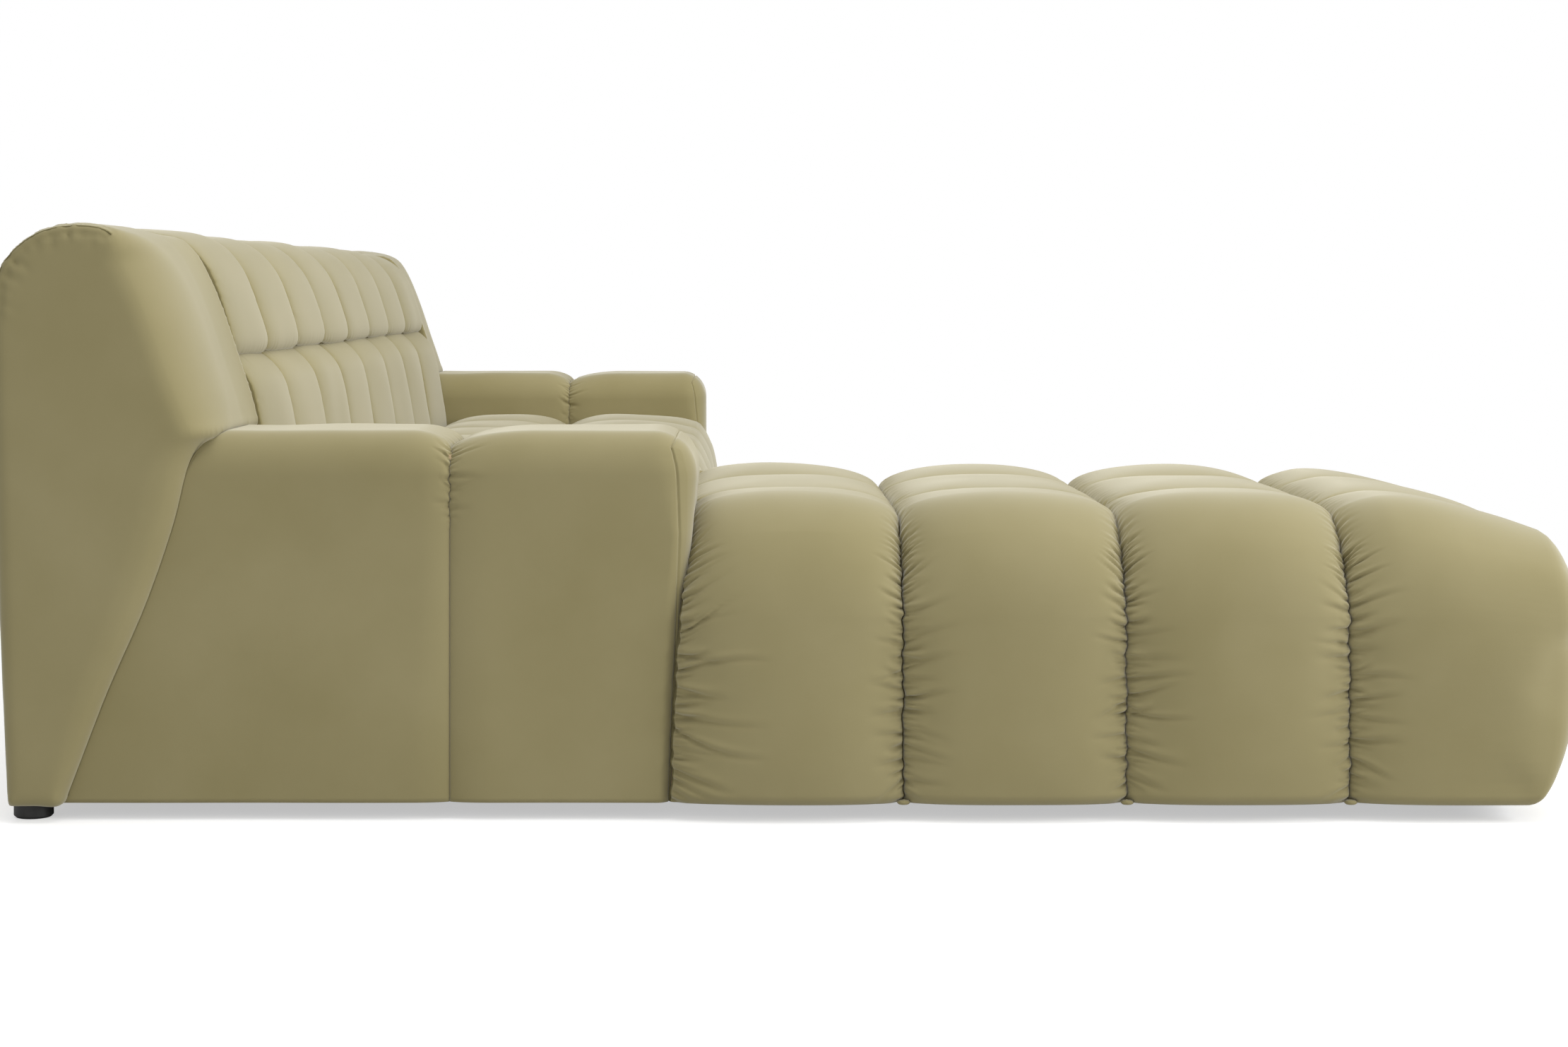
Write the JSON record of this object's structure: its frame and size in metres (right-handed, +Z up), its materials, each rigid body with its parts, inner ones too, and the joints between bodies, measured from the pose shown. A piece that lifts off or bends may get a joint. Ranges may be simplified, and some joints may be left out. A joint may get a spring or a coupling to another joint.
{
  "type": "lounge sofa",
  "caption": "L-shaped lounge sofa with a long chaise, tufted velvet seat rolls, a channelled back in rows and low padded arms, on short round feet.",
  "frame": {"origin": "on the floor, under the middle of the sofa's box", "axes": "+X along the back, with the chaise at the -X end; +Y to the rear, so the seat faces -Y; +Z up"},
  "size_m": [2.8, 2, 0.757],
  "materials": {
    "velvet": "matte",
    "frame_timber": "satin",
    "frame_board": "satin",
    "spring_wire": "satin",
    "clip_plastic": "matte",
    "felt": "matte",
    "foam": "matte",
    "webbing": "matte",
    "lining": "matte",
    "foot_plastic": "matte",
    "screw_steel": "satin",
    "connector_steel": "satin"
  },
  "bodies": {
    "sofa_module": {"sofa_arm_frame": "frame_board", "sofa_arm_front_roll": "velvet", "sofa_arm_rear_roll": "velvet", "sofa_back_end_boards": "frame_board", "sofa_back_end_cap": "velvet", "sofa_back_lower_rolls": "velvet", "sofa_back_posts": "frame_timber", "sofa_back_rails": "frame_timber", "sofa_back_upper_rolls": "velvet", "sofa_back_webbing": "webbing", "sofa_corner_blocks": "frame_timber", "sofa_cross_boards": "frame_timber", "sofa_dust_cover": "lining", "sofa_feet": "foot_plastic", "sofa_foot_screws": "screw_steel", "sofa_hook_pockets": "connector_steel", "sofa_joint_lining": "lining", "sofa_pocket_screws": "screw_steel", "sofa_rear_panel": "velvet", "sofa_seat_felt": "felt", "sofa_seat_foam": "foam", "sofa_seat_front_rolls": "velvet", "sofa_seat_rear_rolls": "velvet", "sofa_side_boards": "frame_timber", "sofa_spring_clips": "clip_plastic", "sofa_springs": "spring_wire"},
    "chaise_module": {"chaise_arm_frame": "frame_board", "chaise_arm_front_roll": "velvet", "chaise_arm_rear_roll": "velvet", "chaise_back_end_boards": "frame_board", "chaise_back_end_cap": "velvet", "chaise_back_lower_rolls": "velvet", "chaise_back_posts": "frame_timber", "chaise_back_rails": "frame_timber", "chaise_back_upper_rolls": "velvet", "chaise_back_webbing": "webbing", "chaise_corner_blocks": "frame_timber", "chaise_cross_boards": "frame_timber", "chaise_dust_cover": "lining", "chaise_feet": "foot_plastic", "chaise_foot_screws": "screw_steel", "chaise_hook_plates": "connector_steel", "chaise_hook_screws": "screw_steel", "chaise_inner_rolls": "velvet", "chaise_joint_lining": "lining", "chaise_middle_rolls": "velvet", "chaise_outer_rolls": "velvet", "chaise_rear_panel": "velvet", "chaise_seat_felt": "felt", "chaise_seat_foam": "foam", "chaise_seat_rolls": "velvet", "chaise_side_boards": "frame_timber", "chaise_spring_clips": "clip_plastic", "chaise_springs": "spring_wire"}
  },
  "joints": [
    {"name": "chaise_lift_off", "type": "slide", "parent": "sofa_module", "child": "chaise_module", "axis": [0, 0, 1], "range_m": [0, 0.06]}
  ]
}
